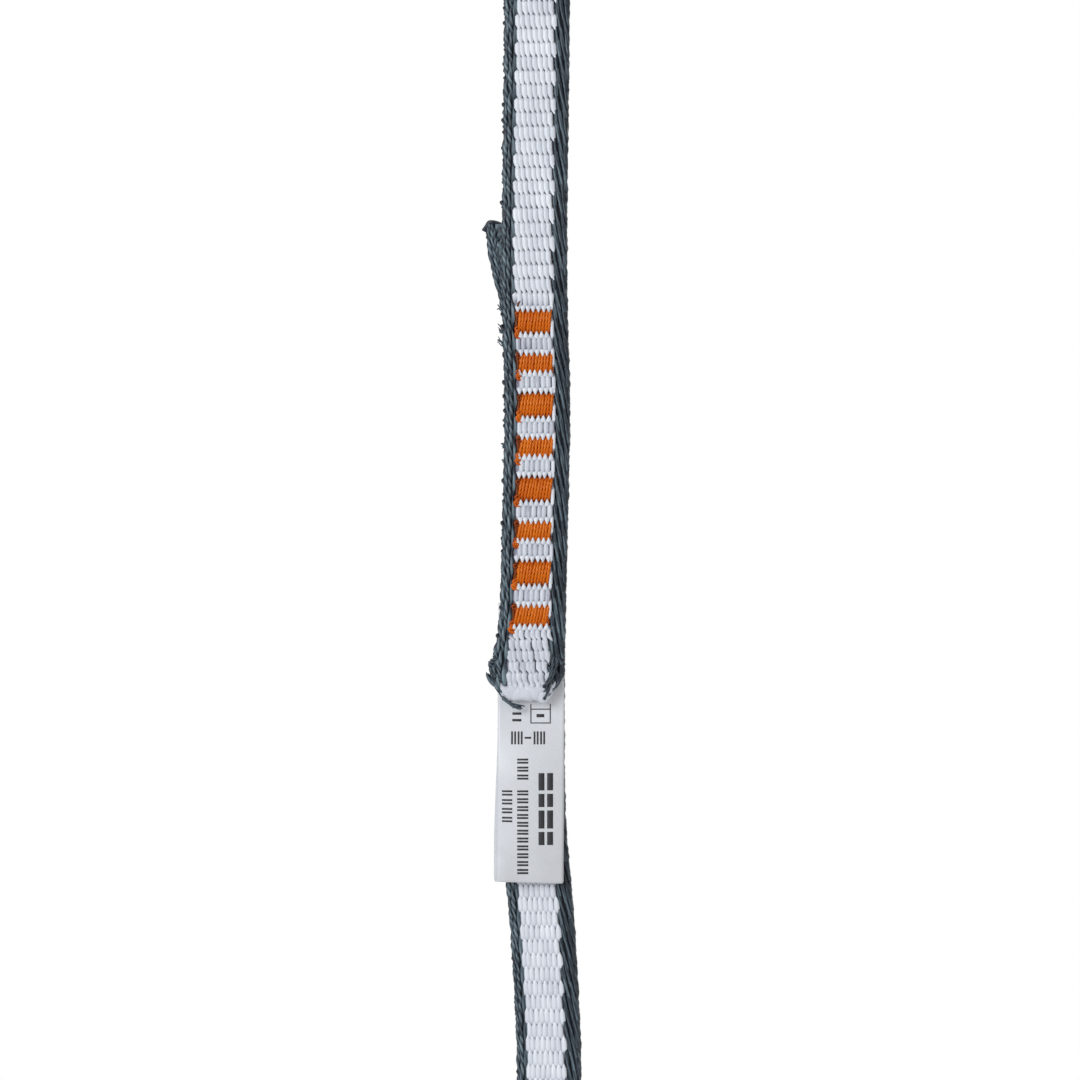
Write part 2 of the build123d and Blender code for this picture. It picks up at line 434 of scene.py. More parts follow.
def yarn_material(name, gap, dark, light, roughness, finish):
    """Yarn: a colour from the gap colour, which is painted shade, over dark to light by its shade, with fine
    filaments along it.
    """
    paint = Paint(name)
    shade = paint.attribute("shade").outputs["Fac"]
    filaments = paint.noise(1.0, 3.0, FILAMENTS)
    clouds = paint.noise(CLOUDS, 2.0)
    fine = paint.maths("MULTIPLY_ADD", filaments, 0.9, -0.45)
    broad = paint.maths("MULTIPLY_ADD", clouds, 0.5, -0.25)
    tone = paint.maths("ADD", fine, shade)
    tone = paint.maths("ADD", tone, broad, clamp=True)
    paint.feed(paint.shader, {
        "Base Color": paint.ramp(tone, ((0.0, gap), (GAP_SHADE_END, dark), (1.0, light))),
        "Roughness": paint.maths("MULTIPLY_ADD", filaments, -0.25, roughness + 0.12),
        "Normal": paint.bump(filaments, 0.5, 0.04),
        "Sheen Roughness": SHEEN_ROUGHNESS,
        "Coat Roughness": COAT_ROUGHNESS,
        **finish,
    })
    return paint.material


def label_material():
    """Satin tape: bluish white with fine threads and grey blotches, with painted shade that darkens it
    towards the bottom.
    """
    paint = Paint("label_tape")
    threads = paint.noise(1.0, 2.0, (14.0, 14.0, 5.0))
    white = paint.ramp(threads, ((0.25, (0.62, 0.635, 0.665)), (0.75, (0.72, 0.735, 0.765))))
    grey_blotches = paint.noise(0.22, 3.0)
    # Painted shade: the tape is darkened towards its lower end, on top of the grey blotches.
    height = paint.node("SeparateXYZ", {"Vector": paint.rest}).outputs["Z"]
    down = paint.node("MapRange", {
        "Value": height, "From Min": -30.0, "From Max": -51.0, "To Min": 0.0, "To Max": 0.55,
    })
    blotches_and_shade = paint.maths("MULTIPLY_ADD", grey_blotches, 0.6, down.outputs["Result"])
    greying = {"Factor": blotches_and_shade, "A": white, "B": (0.80, 0.79, 0.79, 1)}
    grey = paint.node("Mix", greying, data_type="RGBA", blend_type="MULTIPLY")
    paint.feed(paint.shader, {
        "Base Color": grey.outputs["Result"],
        "Normal": paint.bump(threads, 0.25, 0.03),
        "Roughness": 0.42,
        "Sheen Weight": 0.1,
    })
    return paint.material


def ink_material():
    """Printed ink, a little uneven."""
    paint = Paint("label_ink")
    blotch = paint.noise(5.0, 2.0)
    black = paint.ramp(blotch, ((0.0, (0.010, 0.010, 0.013)), (1.0, (0.035, 0.034, 0.040))))
    paint.feed(paint.shader, {"Base Color": black, "Roughness": 0.6})
    return paint.material


TAPE, INK, CORE, SELVAGE, TACK = "label_tape", "label_ink", "core_yarn", "selvage_yarn", "tack_thread"
# The first colour of each yarn look is painted shade for the gaps between yarns.
LOOKS = {
    TAPE: label_material(),
    INK: ink_material(),
    CORE: yarn_material(
        CORE, (0.24, 0.23, 0.30), (0.50, 0.52, 0.585), (0.78, 0.80, 0.845), 0.45,
        {"Sheen Weight": 0.1, "Coat Weight": 0.10},
    ),
    SELVAGE: yarn_material(
        SELVAGE, (0.004, 0.009, 0.018), (0.018, 0.034, 0.050), (0.205, 0.272, 0.312), 0.5,
        {"Sheen Weight": 0.1, "Coat Weight": 0.08},
    ),
    TACK: yarn_material(
        TACK, (0.10, 0.010, 0.0), (0.47, 0.062, 0.0), (0.69, 0.175, 0.004), 0.36,
        {"Coat Weight": 0.12, "Specular Tint": (1.0, 0.62, 0.30, 1)},
    ),
}


# ---------------------------------------------------------------- the weave
WHITE_COLUMNS = 15
COLUMN = 2 * CORE_HALF / WHITE_COLUMNS
FINE = (0.0, 0.15, 0.30, 0.43, 0.55, 0.68, 0.84)  # rings along one row of a yarn
MEDIUM = (0.0, 0.17, 0.33, 0.5, 0.67, 0.83)
COARSE = (0.0, 0.25, 0.5, 0.75)
END_ROOM = 0.02  # those rings keep this far from a piece's ends
CREST = HALF_T - 0.24  # height of a yarn's middle where it floats
TACK_MIDDLE_U = -0.12
TACK_HALF_U = 1.99
TACK_LEFT = TACK_MIDDLE_U - TACK_HALF_U
CREEP_FROM = -19.6  # from here to the front tail's end
CREEP = 1.27  # this many rows take the place of one
FLOAT_HALF = 0.375  # half width of a yarn where it floats, half its depth, and how far it dives
YARN_DEEP = 0.25
YARN_DIVE = 0.44
UNEVEN = 0.05  # how far a yarn strays from its place
GROUND_HALF = 0.46
GROUND_RINGS = 40
EDGE_OVERLAP = 0.05


def row_place(s):
    """s as the weave counts it: in the front tail the rows have crept together."""
    return s + (CREEP - 1) * np.minimum(s - CREEP_FROM, 0)


def yarn_stations(start, end, spots):
    """Places along the band where a yarn gets a ring, at the same spots of every row."""
    rows = np.arange(math.floor(row_place(start) / ROW) - 1, math.ceil(end / ROW) + 2)
    s = (rows[:, None] + np.array(spots)[None, :]).ravel() * ROW
    s = np.where(s < CREEP_FROM, CREEP_FROM + (s - CREEP_FROM) / CREEP, s)
    inside = s[(s > start + END_ROOM) & (s < end - END_ROOM)]
    return np.concatenate([[start], inside, [end]])


def row_noise(seed, rows):
    """A steady random number from 0 to 1 for each row of one yarn."""
    value = np.sin(np.asarray(rows) * 12.9898 + seed * 78.233) * 43758.5453
    return value - np.floor(value)


def jiggle(seed, s):
    """A slow, small unevenness along one yarn, from -1 to 1."""
    return 0.5 * np.sin(0.83 * s + 2.1 * seed) + 0.5 * np.sin(1.91 * s + 3.7 * seed)


def splice_height(s):
    """Height above the splice's middle in whichever sewn layer s is near."""
    return np.where(np.abs(s) < LINK * 2, s, s - rear_layer_s(0))


def stitched(s):
    """1 in the sewn stretch of either layer, 0 away from it."""
    reach = TACK_MIDDLES[0] + TACK_LENGTH / 2
    return 1 - smooth(reach + 0.5, reach + 1.7, np.abs(splice_height(s)))


def gap_rows(s):
    """Rows from the nearest middle of a gap between bar tacks. The gaps sit a little off, by turns."""
    pitch = ROW * ROWS_PER_TACK
    height = splice_height(s)
    number = np.round((height - TACK_MIDDLES[0] - pitch / 2) / pitch)
    middle = TACK_MIDDLES[0] + pitch / 2 + number * pitch
    off = np.where(np.abs(number + 4) < 3.5, 0.13 * np.where(number % 2 == 0, 1, -1), 0)
    return (height - middle) / ROW - off


def melted(s):
    """1 where the heat of the cut has fused the yarns of a tail, 0 away from it."""
    front = smooth(FRONT_TAIL_END + 2.6, FRONT_TAIL_END + 1.4, s)
    rear = smooth(BAND_END - 2.0, BAND_END - 0.8, s)
    return np.maximum(front, rear)


def white_yarn(weave, s, column, face, sides):
    """One undyed warp yarn of one face. Each float is plump, and one end comes to a slanted point."""
    parity = column % 2
    along = row_place(s) / ROW
    e = (along - parity + 1) % 2 - 1
    row = np.round((along - parity) / 2)
    jitter = row_noise(column + 40 * face, row)

    # The free weave. t runs from the float's blunt end at -1 to its pointed end at 1.
    tip_up = s > HALF_WAY
    t = np.where(tip_up, e, -e)
    length = UNEVEN * (row_noise(column + 61 * face, row) - 0.5)
    sharp = smooth(np.where(tip_up, 0.22, 0.16) + length, np.where(tip_up, 0.74, 0.70) + length, t)
    blunt = smooth(np.where(tip_up, 0.46, 0.40), np.where(tip_up, 0.88, 0.80), -t)
    plump = FLOAT_HALF * (1 - 0.80 * sharp - 0.55 * blunt) * (0.95 + 0.1 * jitter)
    slant = np.where(tip_up, -0.03, 0.25)
    lean = slant * smooth(0.0, 0.72, t) - 0.25 * slant * smooth(0.0, 0.7, -t)
    dive = smooth(0.56, 0.86, t) + smooth(0.36, 0.78, -t)
    lean = lean * (1 + 0.6 * smooth(24.5, 21.5, np.abs(splice_height(s))))

    # Between two bar tacks the yarns of one parity stand out and the others show as short teeth.
    gap = np.abs(gap_rows(s))
    main = (np.round(gap_rows(s) - s / ROW + parity) % 2) == 0
    main_plump = 0.35 * (1 - 0.80 * smooth(0.24, 0.64, gap))
    main_dive = smooth(0.44, 0.72, gap) + 0.5 * smooth(0.7, 0.9, gap)
    tooth_plump = 0.34 * smooth(0.24, 0.44, gap) * (1 - 0.92 * smooth(0.42, 0.98, gap)) + 0.04
    tooth_dive = 1 - 1.28 * smooth(0.26, 0.5, gap) + 1.6 * smooth(0.86, 1.02, gap)
    u = CORE_LEFT + (column + 0.5) * COLUMN
    held = stitched(s) * (u < TACK_MIDDLE_U + TACK_HALF_U + 0.1)
    plump = mix(plump, np.where(main, main_plump, tooth_plump), held)
    dive = mix(dive, np.where(main, main_dive, tooth_dive), held)
    lean = mix(lean, 0.06 * (jitter - 0.5), held)

    # The last column passes beside the tacks, and the first sinks under the left selvage.
    beside = stitched(s) * (column == WHITE_COLUMNS - 1)
    plump = mix(plump, 0.25 * (1 - 0.6 * smooth(0.6, 1.0, np.abs(t))), beside)
    lean = mix(lean, -0.04, beside)
    dive = dive + 1.2 * stitched(s) * (column == 0)
    dive = dive + 1.2 * smooth(rear_layer_s(19), rear_layer_s(21), s) * (column < 2) * (face > 0)

    # The front tail's yarns lie loose, and the heat of the cut has fused both tails' ends.
    melt = melted(s)
    loose = smooth(-19.5, -22.0, s) * (s < 0) * (1 - melt)
    stray = 0.24 * (row_noise(column + 3, row) - 0.5)
    stray = stray - 0.35 * t * (row_noise(2, np.round(along - t)) - 0.35)
    lean = lean + loose * stray
    plump = mix(plump, 0.30 + 0.05 * jiggle(column, s), melt)
    dive = mix(dive, 0.35 + 0.12 * jiggle(column + 5, s), melt)

    sunk = np.clip(dive, 0, 1)
    edge = (column == WHITE_COLUMNS - 1) + 2.5 * (column == 0)
    u = u + lean + UNEVEN * (jitter - 0.5) + 0.02 * jiggle(column + 9 * face, s) + 0.05 * edge * (1 - sunk)
    n = CREST + 0.04 * (jitter - 0.5) - YARN_DIVE * dive
    # The row tone is the yarn's own and the melt's grey is the fused yarn's. Painted shade darkens a yarn
    # where it dives, the main yarns between the bar tacks, the blunt ends of the lower strand's floats and
    # the yarn's sides; a painted highlight lightens the pointed tips. The front tail's loose yarns are
    # darker.
    shade = 0.60 + 0.30 * (row_noise(column + 7, row) - 0.5) - 0.22 * np.clip(dive, 0, 1.3)
    shade = shade + 0.20 * smooth(0.15, 0.6, t) * (1 - held) - 0.30 * held * main
    shade = shade - 0.25 * melt - 0.22 * loose - 0.26 * tip_up * smooth(0.12, 0.55, -t)
    weave.tube(s, u, face * n, plump, YARN_DEEP - 0.05 * sunk, sides, face, shade, flank_shade=0.15)


def cord(weave, s, u, n, across, deep, parity, seed, wave=0.04, side_shade=0.0):
    """A two-ply twisted selvage cord that rises and falls once in two rows."""
    e = (s / ROW - parity + 1) % 2 - 1
    rise = np.cos(math.pi * e)
    row = np.round(s / ROW)
    # The row tone is the yarn's own. A painted highlight lightens the cord where it rises, and cords round
    # the band's sides are painted darker as shade.
    shade = 0.62 - side_shade + 0.30 * (row_noise(seed, row) - 0.5) + 0.12 * rise
    u = u + math.copysign(wave, u) * rise + 0.05 * jiggle(seed, s)
    n = n + math.copysign(wave, n) * rise * (n != 0)
    swell = 1 + 0.08 * rise + 0.05 * jiggle(seed + 3, s)
    phase = seed + 0.9 * jiggle(seed + 1, s)[:, None]
    weave.tube(
        s, u, n, across * swell, deep * swell, sides=9, shade=shade,
        lobes=2, depth=0.26, twist=math.pi / (0.74 * ROW), phase=phase, groove_shade=0.66,
    )


# The left edge's cords: place beyond the core, height, parity of their rise, and seed.
LEFT_CORDS = ((0.60, 0.68, 0, 11), (1.03, 0.50, 1, 17))


def left_selvage(weave, stations):
    """The left edge: an inner float that interlocks with the core, then twisted cords round the side."""
    for face, s in stations.items():
        d = np.abs((s / ROW) % 2 - 1)
        dive = smooth(0.35, 0.95, d)
        row = np.round((s / ROW - 1) / 2)
        width = 0.25 * (1 - 0.5 * smooth(0.2, 0.95, d))
        u = CORE_LEFT - 0.17 + 0.10 * (1 - dive) + 0.04 * jiggle(face, s)
        # Painted shade darkens the inner float where it dives. The row tone is the yarn's own.
        shade = 0.60 + 0.3 * (row_noise(3 * face, row) - 0.5) - 0.35 * dive
        weave.tube(
            s, u, face * (CREST + 0.02 - 0.3 * dive), width, 0.24, face=face, shade=shade,
            lobes=2, depth=0.12, twist=0.9, groove_shade=0.35,
        )
        for beyond, n, parity, seed in LEFT_CORDS:
            cord(weave, s, CORE_LEFT - beyond, face * n, 0.22, 0.25, parity, seed + face)
    # The cord down the band's side is painted darker as shade.
    cord(weave, stations[1], CORE_LEFT - 1.17, 0.0, 0.22, 0.34, 1, 23, side_shade=0.25)


def right_float(weave, s, u, n, phase, seed, face, run=0.55, light=0.0):
    """A long slanted float of the right edge: it runs outwards as it goes down, then starts again."""
    q = 1 - ((s / ROW + phase) / 2) % 1.0
    row = np.floor((s / ROW + phase) / 2)
    ends = 1 - smooth(0.0, 0.16, q) * smooth(1.0, 0.84, q)
    tone = row_noise(seed, row)
    # Painted shade darkens the float's ends where they dive and keeps the whole right edge darker than the
    # left, as the light falls from the left; light adds painted light to the inner floats, which face the
    # front. The row tone is the yarn's own.
    shade = 0.30 + light + 0.35 * (tone - 0.5) - 0.5 * ends + 0.12 * q
    slide = u + run * (q - 0.5) + 0.03 * jiggle(seed, s) + 0.06 * (tone - 0.5)
    n = n - 0.62 * ends - 0.06 * q
    weave.tube(
        s, slide, face * n, 0.235 * (1 - 0.5 * ends), 0.25, face=face, shade=shade,
        lobes=3, depth=0.12, twist=0.45, phase=seed, groove_shade=0.45, flank_shade=0.3,
    )


# The right edge's floats: place beyond the core, height, phase in rows, seed, run and light, which is
# painted light on the inner floats that face the front.
RIGHT_FLOATS = (
    (0.25, 0.76, 0.0, 31, 0.36, 0.15),
    (0.52, 0.77, 1.0, 37, 0.55, 0.12),
    (0.86, 0.76, 0.1, 41, 0.55, 0.1),
    (1.18, 0.70, 1.15, 43, 0.55, 0.0),
    (1.46, 0.58, 0.5, 45, 0.35, 0.0),
)


def right_selvage(weave, stations):
    """The right edge: overlapping slanted floats on both faces and cords down the side."""
    for face, s in stations.items():
        for beyond, n, phase, seed, run, light in RIGHT_FLOATS:
            right_float(weave, s, CORE_RIGHT + beyond, n, phase, seed + face, face, run, light)
        # The cords round the side are painted darker as shade.
        cord(weave, s, CORE_RIGHT + 1.56, face * 0.32, 0.20, 0.27, 1, 47 + face, wave=0.02, side_shade=0.28)
    cord(weave, stations[1], CORE_RIGHT + 1.63, 0.0, 0.19, 0.3, 0, 53, wave=0.02, side_shade=0.28)


def weft_hooks(weave, start, end):
    """The weft turning back round the left edge: a small dark loop at every half row, no two alike."""
    edge = CORE_LEFT - 1.06
    t = np.linspace(0, 1, 7)
    for number in range(math.ceil(2 * start / ROW + 0.6), math.floor(2 * end / ROW - 0.6) + 1):
        odd = number % 2
        size = (0.50 if odd else 0.92) + 0.80 * (row_noise(5, number) - 0.5)
        if number * ROW / 2 > HALF_WAY:
            size = size * 0.62
        if size < 0.3:
            continue
        at = (number / 2 + 0.22 * (row_noise(6, number) - 0.5)) * ROW
        out = 0.36 * size * np.sin(math.pi * t ** 0.75)
        line = np.stack([at + 0.62 * size * (t - 0.5) + 0.55 * out, edge - out, 0.42 - 0.75 * t], -1)
        radius = (0.10 + 0.06 * np.sin(math.pi * t)) * (0.6 + 0.5 * size)
        weave.strand(line, radius, sides=6, shade=0.30 if odd else 0.05)


def ground(weave, start, end, low_u, high_u, shade):
    """The woven ground between the two faces' yarns: a dark sheet that shows as painted shade in the gaps.
    """
    corner = np.array([(-1, -1), (1, -1), (1, 1), (-1, 1)], float)
    ring = np.zeros((GROUND_RINGS, 4, 3))
    ring[..., 0] = np.linspace(start, end, GROUND_RINGS)[:, None]
    ring[..., 1] = (low_u + high_u) / 2 + (high_u - low_u) / 2 * corner[None, :, 0]
    ring[..., 2] = GROUND_HALF * corner[None, :, 1]
    weave.rings(ring, np.full(GROUND_RINGS, shade))


def core_piece(name, start, end):
    """The undyed core of one stretch. The face inside the loop has coarser rings."""
    weave = Weave()
    inside = FINE if abs(splice_height(end)) < SPLICE_HALF else COARSE
    for face, spots, sides in ((1, FINE, 7), (-1, inside, 6)):
        stations = yarn_stations(start, end, spots)
        for column in range(WHITE_COLUMNS):
            white_yarn(weave, stations, column, face, sides)
    ground(weave, start, end, CORE_LEFT, CORE_RIGHT, -0.05)
    return weave.piece(name, CORE)


def selvage_piece(name, start, end):
    """The two dyed edges of one stretch."""
    weave = Weave()
    inside = MEDIUM if abs(splice_height(end)) < SPLICE_HALF else COARSE
    stations = {1: yarn_stations(start, end, MEDIUM), -1: yarn_stations(start, end, inside)}
    left_selvage(weave, stations)
    right_selvage(weave, stations)
    weft_hooks(weave, start, end)
    ground(weave, start, end, CORE_LEFT - 1.1, CORE_LEFT + EDGE_OVERLAP, -0.1)
    ground(weave, start, end, CORE_RIGHT - EDGE_OVERLAP, CORE_RIGHT + 1.55, -0.1)
    return weave.piece(name, SELVAGE)


# ---------------------------------------------------------------- the band, cut into pieces round its bends
STRAND = ("front_1", "front_2", "front_3", "bight", "rear_3", "rear_2", "rear_1", "rear_middle")
CHAIN = (
    "front_tail", "splice",
    *(f"upper_{name}" for name in STRAND),
    *(f"lower_{name}" for name in STRAND[::-1]),
    "splice", "rear_tail",
)
MIDDLE_PAIR = {"upper_rear_middle", "lower_rear_middle"}
LAYER_SPARE = 0.5  # a layer's rigid piece reaches this far past the other layer's cut end


def on_row(s):
    """The nearest row's middle, where neighbouring pieces can meet without a seam."""
    return round(s / ROW) * ROW


def make_band():
    """Every stretch of webbing: its start and end, the bend it holds if any, and its bodies.

    A piece ends half way between two bends. The splice has one piece with no bend in each layer.
    """
    before = -LINK * np.array([3, 2, 1])
    after = LINK * np.array([1, 2, 3])
    bends = [-TAIL_BEND, *(UPPER_IN + before), UPPER_IN, UPPER_OUT, *(UPPER_OUT + after), HALF_WAY]
    bends += [*(LOWER_IN + before), LOWER_IN, LOWER_OUT, *(LOWER_OUT + after), rear_layer_s(TAIL_BEND)]
    meets = [(a + b) / 2 for a, b in zip(bends[:-1], bends[1:])]
    tack_gap = (TACK_MIDDLES[-2] + TACK_MIDDLES[-1]) / 2
    layer_end = on_row(REAR_TAIL_END + LAYER_SPARE)
    meets[0] = tack_gap
    meets[-1] = rear_layer_s(-tack_gap)
    meets.insert(1, layer_end)
    meets.insert(-1, rear_layer_s(0) - layer_end)
    bends.insert(1, None)
    bends.insert(-1, None)
    edges = [BAND_START, *map(on_row, meets), BAND_END]
    pieces = []
    place_in_chain = 0
    for start, end, bend in zip(edges[:-1], edges[1:], bends):
        body = CHAIN[place_in_chain]
        if bend is not None:
            place_in_chain += 1
        pieces.append((start, end, bend, body, CHAIN[place_in_chain]))
    return pieces


def attach(piece, bend, bodies):
    """Rides on the only body. A piece that holds a bend between two bodies only has its transform baked."""
    if bend is None or len(bodies) == 1:
        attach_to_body(piece, bodies[0])
        return
    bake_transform(piece)


def webbing():
    """All the pieces of webbing. The one that holds the middle of the rear strand is in two halves."""
    layers = {"splice": ("front_layer", "rear_layer")}
    done = set()
    for number, (start, end, bend, a, b) in enumerate(make_band(), 1):
        halves = [("", start, end, (a, b))]
        if {a, b} == MIDDLE_PAIR:
            halves = [("a", start, on_row(bend), (a,)), ("b", on_row(bend), end, (b,))]
        for mark, low, high, bodies in halves:
            for kind, build in (("core", core_piece), ("selvages", selvage_piece)):
                piece = build(f"{kind}_webbing_{number:02d}{mark}", low, high)
                attach(piece, bend, bodies)
                names = [f"{kind}_{layer}" for body in bodies for layer in layers.get(body, (body,))]
                names = [name for name in dict.fromkeys(names) if name not in done]
                if names:
                    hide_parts(*names)
                    done.update(names)


webbing()


# ---------------------------------------------------------------- bar tacks
STITCHES = 11
THREAD = 0.178
STITCH_PITCH = 2 * (TACK_HALF_U - THREAD) / (STITCHES - 1)
# A tack thread's three plies, with painted shade in the grooves between them.
PLY = {"lobes": 3, "depth": 0.19, "groove_shade": 0.45}
# A hidden layer of stitches one way and a close visible layer the other: lean, height and shade, with the
# hidden layer darker as painted shade under the visible one.
STITCH_LAYERS = ((-0.22, -0.10, 0.50), (0.24, 0.05, 0.80))
# Loops at a tack's left end: place, reach, length, height, shade and thickness.
END_LOOPS = (
    (-1.95, 0.46, 0.42, 0.00, 0.55, 1.0),
    (-1.35, 0.40, 0.37, 0.03, 0.42, 0.9),
    (-1.65, 0.26, 0.32, 0.06, 0.62, 0.9),
    (0.65, 0.36, 0.27, 0.09, 0.22, 0.8),
)


def tack_face(weave, number, base, face):
    """The stitches of one face of a bar tack, whose middle is at base along the band."""
    t = np.linspace(-1, 1, 29)
    arch = 1 - np.abs(t) ** 2.6
    for lean, level, tone in STITCH_LAYERS:
        for stitch in range(STITCHES):
            jitter = RNG.uniform(-1, 1, 5)
            u = TACK_LEFT + THREAD + stitch * STITCH_PITCH + 0.035 * jitter[0]
            tilt = lean + 0.05 * jitter[1]
            length = 0.50 * TACK_LENGTH * (1 + 0.03 * jitter[2])
            n = CREST - 0.40 + 0.54 * arch + level + 0.025 * jitter[3]
            bow = 0.04 * jitter[4] * np.sin(math.pi * t)
            line = np.stack([base + length * t, u + tilt * t + bow, face * n], -1)
            # Painted shade darkens each stitch towards its ends, where it sinks into the webbing.
            shade = tone + 0.12 * jitter[0] - 0.30 * (1 - arch)
            radius = THREAD * (1 + 0.06 * jitter[2])
            weave.strand(line, radius, sides=10, shade=shade, turns=1.9 + 0.2 * jitter[3], **PLY)
    curve = np.linspace(0, math.pi, 13)
    for at, reach, length, rise, tone, thick in END_LOOPS:
        wobble = RNG.uniform(-1, 1, 3)
        line = np.stack([
            base + at + 0.08 * wobble[0] + length * np.cos(curve) + 0.25,
            TACK_LEFT + 0.12 - (reach + 0.025 * number + 0.04 * wobble[1]) * np.sin(curve),
            face * (CREST + 0.06 + 0.16 * np.sin(curve) + rise),
        ], -1)
        weave.strand(line, THREAD * thick, sides=9, shade=tone + 0.12 * wobble[2], turns=1.0, **PLY)
    run = base + 0.46 * TACK_LENGTH * np.linspace(-1, 1, 9)
    # A dark strip left of the stitches and a darker underlay below them: painted shade in the groove beside
    # the tack and between its threads.
    weave.tube(run, TACK_LEFT - 0.16, face * (CREST - 0.14), 0.30, 0.2, shade=-0.1)
    weave.tube(run, TACK_MIDDLE_U, face * (CREST - 0.22), TACK_HALF_U - 0.1, 0.2, sides=16, shade=0.12)


def bar_tack(number, middle):
    """A tack's stitches on both faces of the splice. The first one has a loose thread end."""
    weave = Weave()
    tack_face(weave, number, middle, 1)
    tack_face(weave, number, rear_layer_s(middle), -1)
    if number == 1:
        loose = np.linspace(0, 1, 12)
        line = np.stack([
            middle + 0.45 * TACK_LENGTH + 1.0 * loose,
            TACK_LEFT + 0.05 - 0.25 * np.sin(2.6 * loose) + 0.35 * loose,
            CREST + 0.14 + 0.12 * np.sin(math.pi * loose),
        ], -1)
        weave.strand(line, THREAD * 0.62, sides=8, shade=0.02, turns=1.0, **PLY)
    piece = weave.riding(f"tack_stitches_{number}", TACK, "splice")
    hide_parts(f"bar_tack_{number}")


for tack_number, tack_middle in enumerate(TACK_MIDDLES, 1):
    bar_tack(tack_number, tack_middle)


# ---------------------------------------------------------------- cut ends, loose threads
LUMP_RINGS = 15
LUMP_SIDES = 14
# Two twisted plies, with painted shade in the grooves between them.
TWO_PLY = {"sides": 9, "lobes": 2, "depth": 0.26, "groove_shade": 0.6}


def lump(weave, s, u, n, radii, seed, shade):
    """A fused lump of melted yarn, long across the band and uneven."""
    across, along, deep = radii
    tilt = np.linspace(-math.pi / 2, math.pi / 2, LUMP_RINGS)[:, None]
    angle = 2 * math.pi * np.arange(LUMP_SIDES) / LUMP_SIDES
    where = np.sin(tilt)
    uneven = 1 + 0.05 * np.sin(3 * angle + seed + 4 * where) + 0.06 * np.sin(6 * where + seed + 2 * angle)
    thin = np.cos(tilt) ** 0.45 * uneven
    rings = np.stack(np.broadcast_arrays(
        s + along * thin * np.cos(angle) + 0.12 * np.sin(5 * where + seed),
        u + across * where,
        n + deep * thin * np.sin(angle),
    ), -1)
    weave.rings(rings, np.full(LUMP_RINGS, shade))


def tuft(weave, s, u, n, size, seed, count):
    """A few broken filaments that stand out of the edge."""
    t = np.linspace(0, 1, 7)
    for number in range(count):
        a = row_noise(seed, number)
        b = row_noise(seed + 1, number)
        c = row_noise(seed + 2, number)
        line = np.stack([
            s + size * ((a - 0.35) * 1.3 * t + 0.35 * np.sin(3 * t + 6 * b)),
            u - size * (0.45 + 0.6 * b) * t,
            n + size * (c - 0.5) * 0.8 * t,
        ], -1)
        weave.strand(line, 0.115 * (1.15 - 0.7 * t), sides=5, shade=0.10 + 0.35 * c)


# Lumps of the front tail's end: distance from the end, u and half width.
FRONT_LUMPS = ((0.60, -2.0, 1.45), (0.50, -0.8, 1.6), (0.62, 0.6, 1.6), (0.30, 1.65, 1.1), (0.75, 2.5, 0.55))
# Fused corners beside them: distance, u, half sizes, seed and shade.
FRONT_CORNERS = (
    (0.95, CORE_RIGHT + 0.78, 0.55, (0.42, 0.42, 0.34), 4.0, 0.04),
    (0.35, -3.5, 0.0, (0.85, 0.50, 0.98), 1.0, 0.30),
    (0.35, CORE_RIGHT + 0.85, 0.0, (0.95, 0.50, 0.98), 3.0, 0.22),
)
RIGHT_CORDS = ((0.75, 3.9), (0.45, 4.4), (1.0, 3.2), (0.15, 4.6))  # bulge and length
REAR_LUMPS = ((-2.1, 0.6), (-1.1, 0.8), (0.05, 0.85), (1.1, 0.75), (1.75, 0.5))  # u and half width
TUFTS = ((19.3, 0.75), (16.8, 0.75), (15.2, 0.8), (5.8, 0.5), (2.8, 0.55), (0.9, 0.45))  # height, size
MELT_SHADE = 0.34
REAR_CORDS_FROM = rear_layer_s(21.0)


def front_tail_end():
    """The front tail's fused end and the selvage cords that have come loose beside it."""
    white = Weave()
    for seed, (up, u, width) in enumerate(FRONT_LUMPS):
        lump(white, FRONT_TAIL_END + up, u, 0.26, (width, 1.02, 0.78), 1.7 * seed, MELT_SHADE)
    white.riding("front_tail_melt", CORE, "front_tail")

    dark = Weave()
    t = np.linspace(0, 1, 25)
    bulge = np.sin(math.pi * t)
    for number in range(4):
        line = np.stack([
            -23.6 - 0.5 * number - 3.3 * np.sin(1.75 * t) ** 1.1 + 0.9 * t ** 3 * (number == 0),
            CORE_LEFT - 1.05 + 0.16 * number - 0.55 * bulge + 1.5 * t ** 3,
            0.55 + 0.35 * bulge - 0.16 * number,
        ], -1)
        dark.strand(line, 0.21 * (1 - 0.25 * t), shade=0.42 - 0.06 * number, turns=3.2, **TWO_PLY)
    for number, (out, length) in enumerate(RIGHT_CORDS):
        line = np.stack([
            -22.9 - 0.25 * number - length * t,
            CORE_RIGHT + 0.15 + 0.3 * number + 0.55 * out * bulge - 0.75 * t ** 2 - 0.28 * number * t,
            0.75 + 0.30 * bulge + 0.05 * number,
        ], -1)
        radius = 0.21 * (1 - 0.2 * t)
        dark.strand(line, radius, sides=9, shade=0.30, lobes=2, depth=0.24, turns=2.5, groove_shade=0.55)
    for up, u, n, radii, seed, shade in FRONT_CORNERS:
        lump(dark, FRONT_TAIL_END + up, u, n, radii, seed, shade)
    dark.riding("front_tail_loose_cords", SELVAGE, "front_tail")


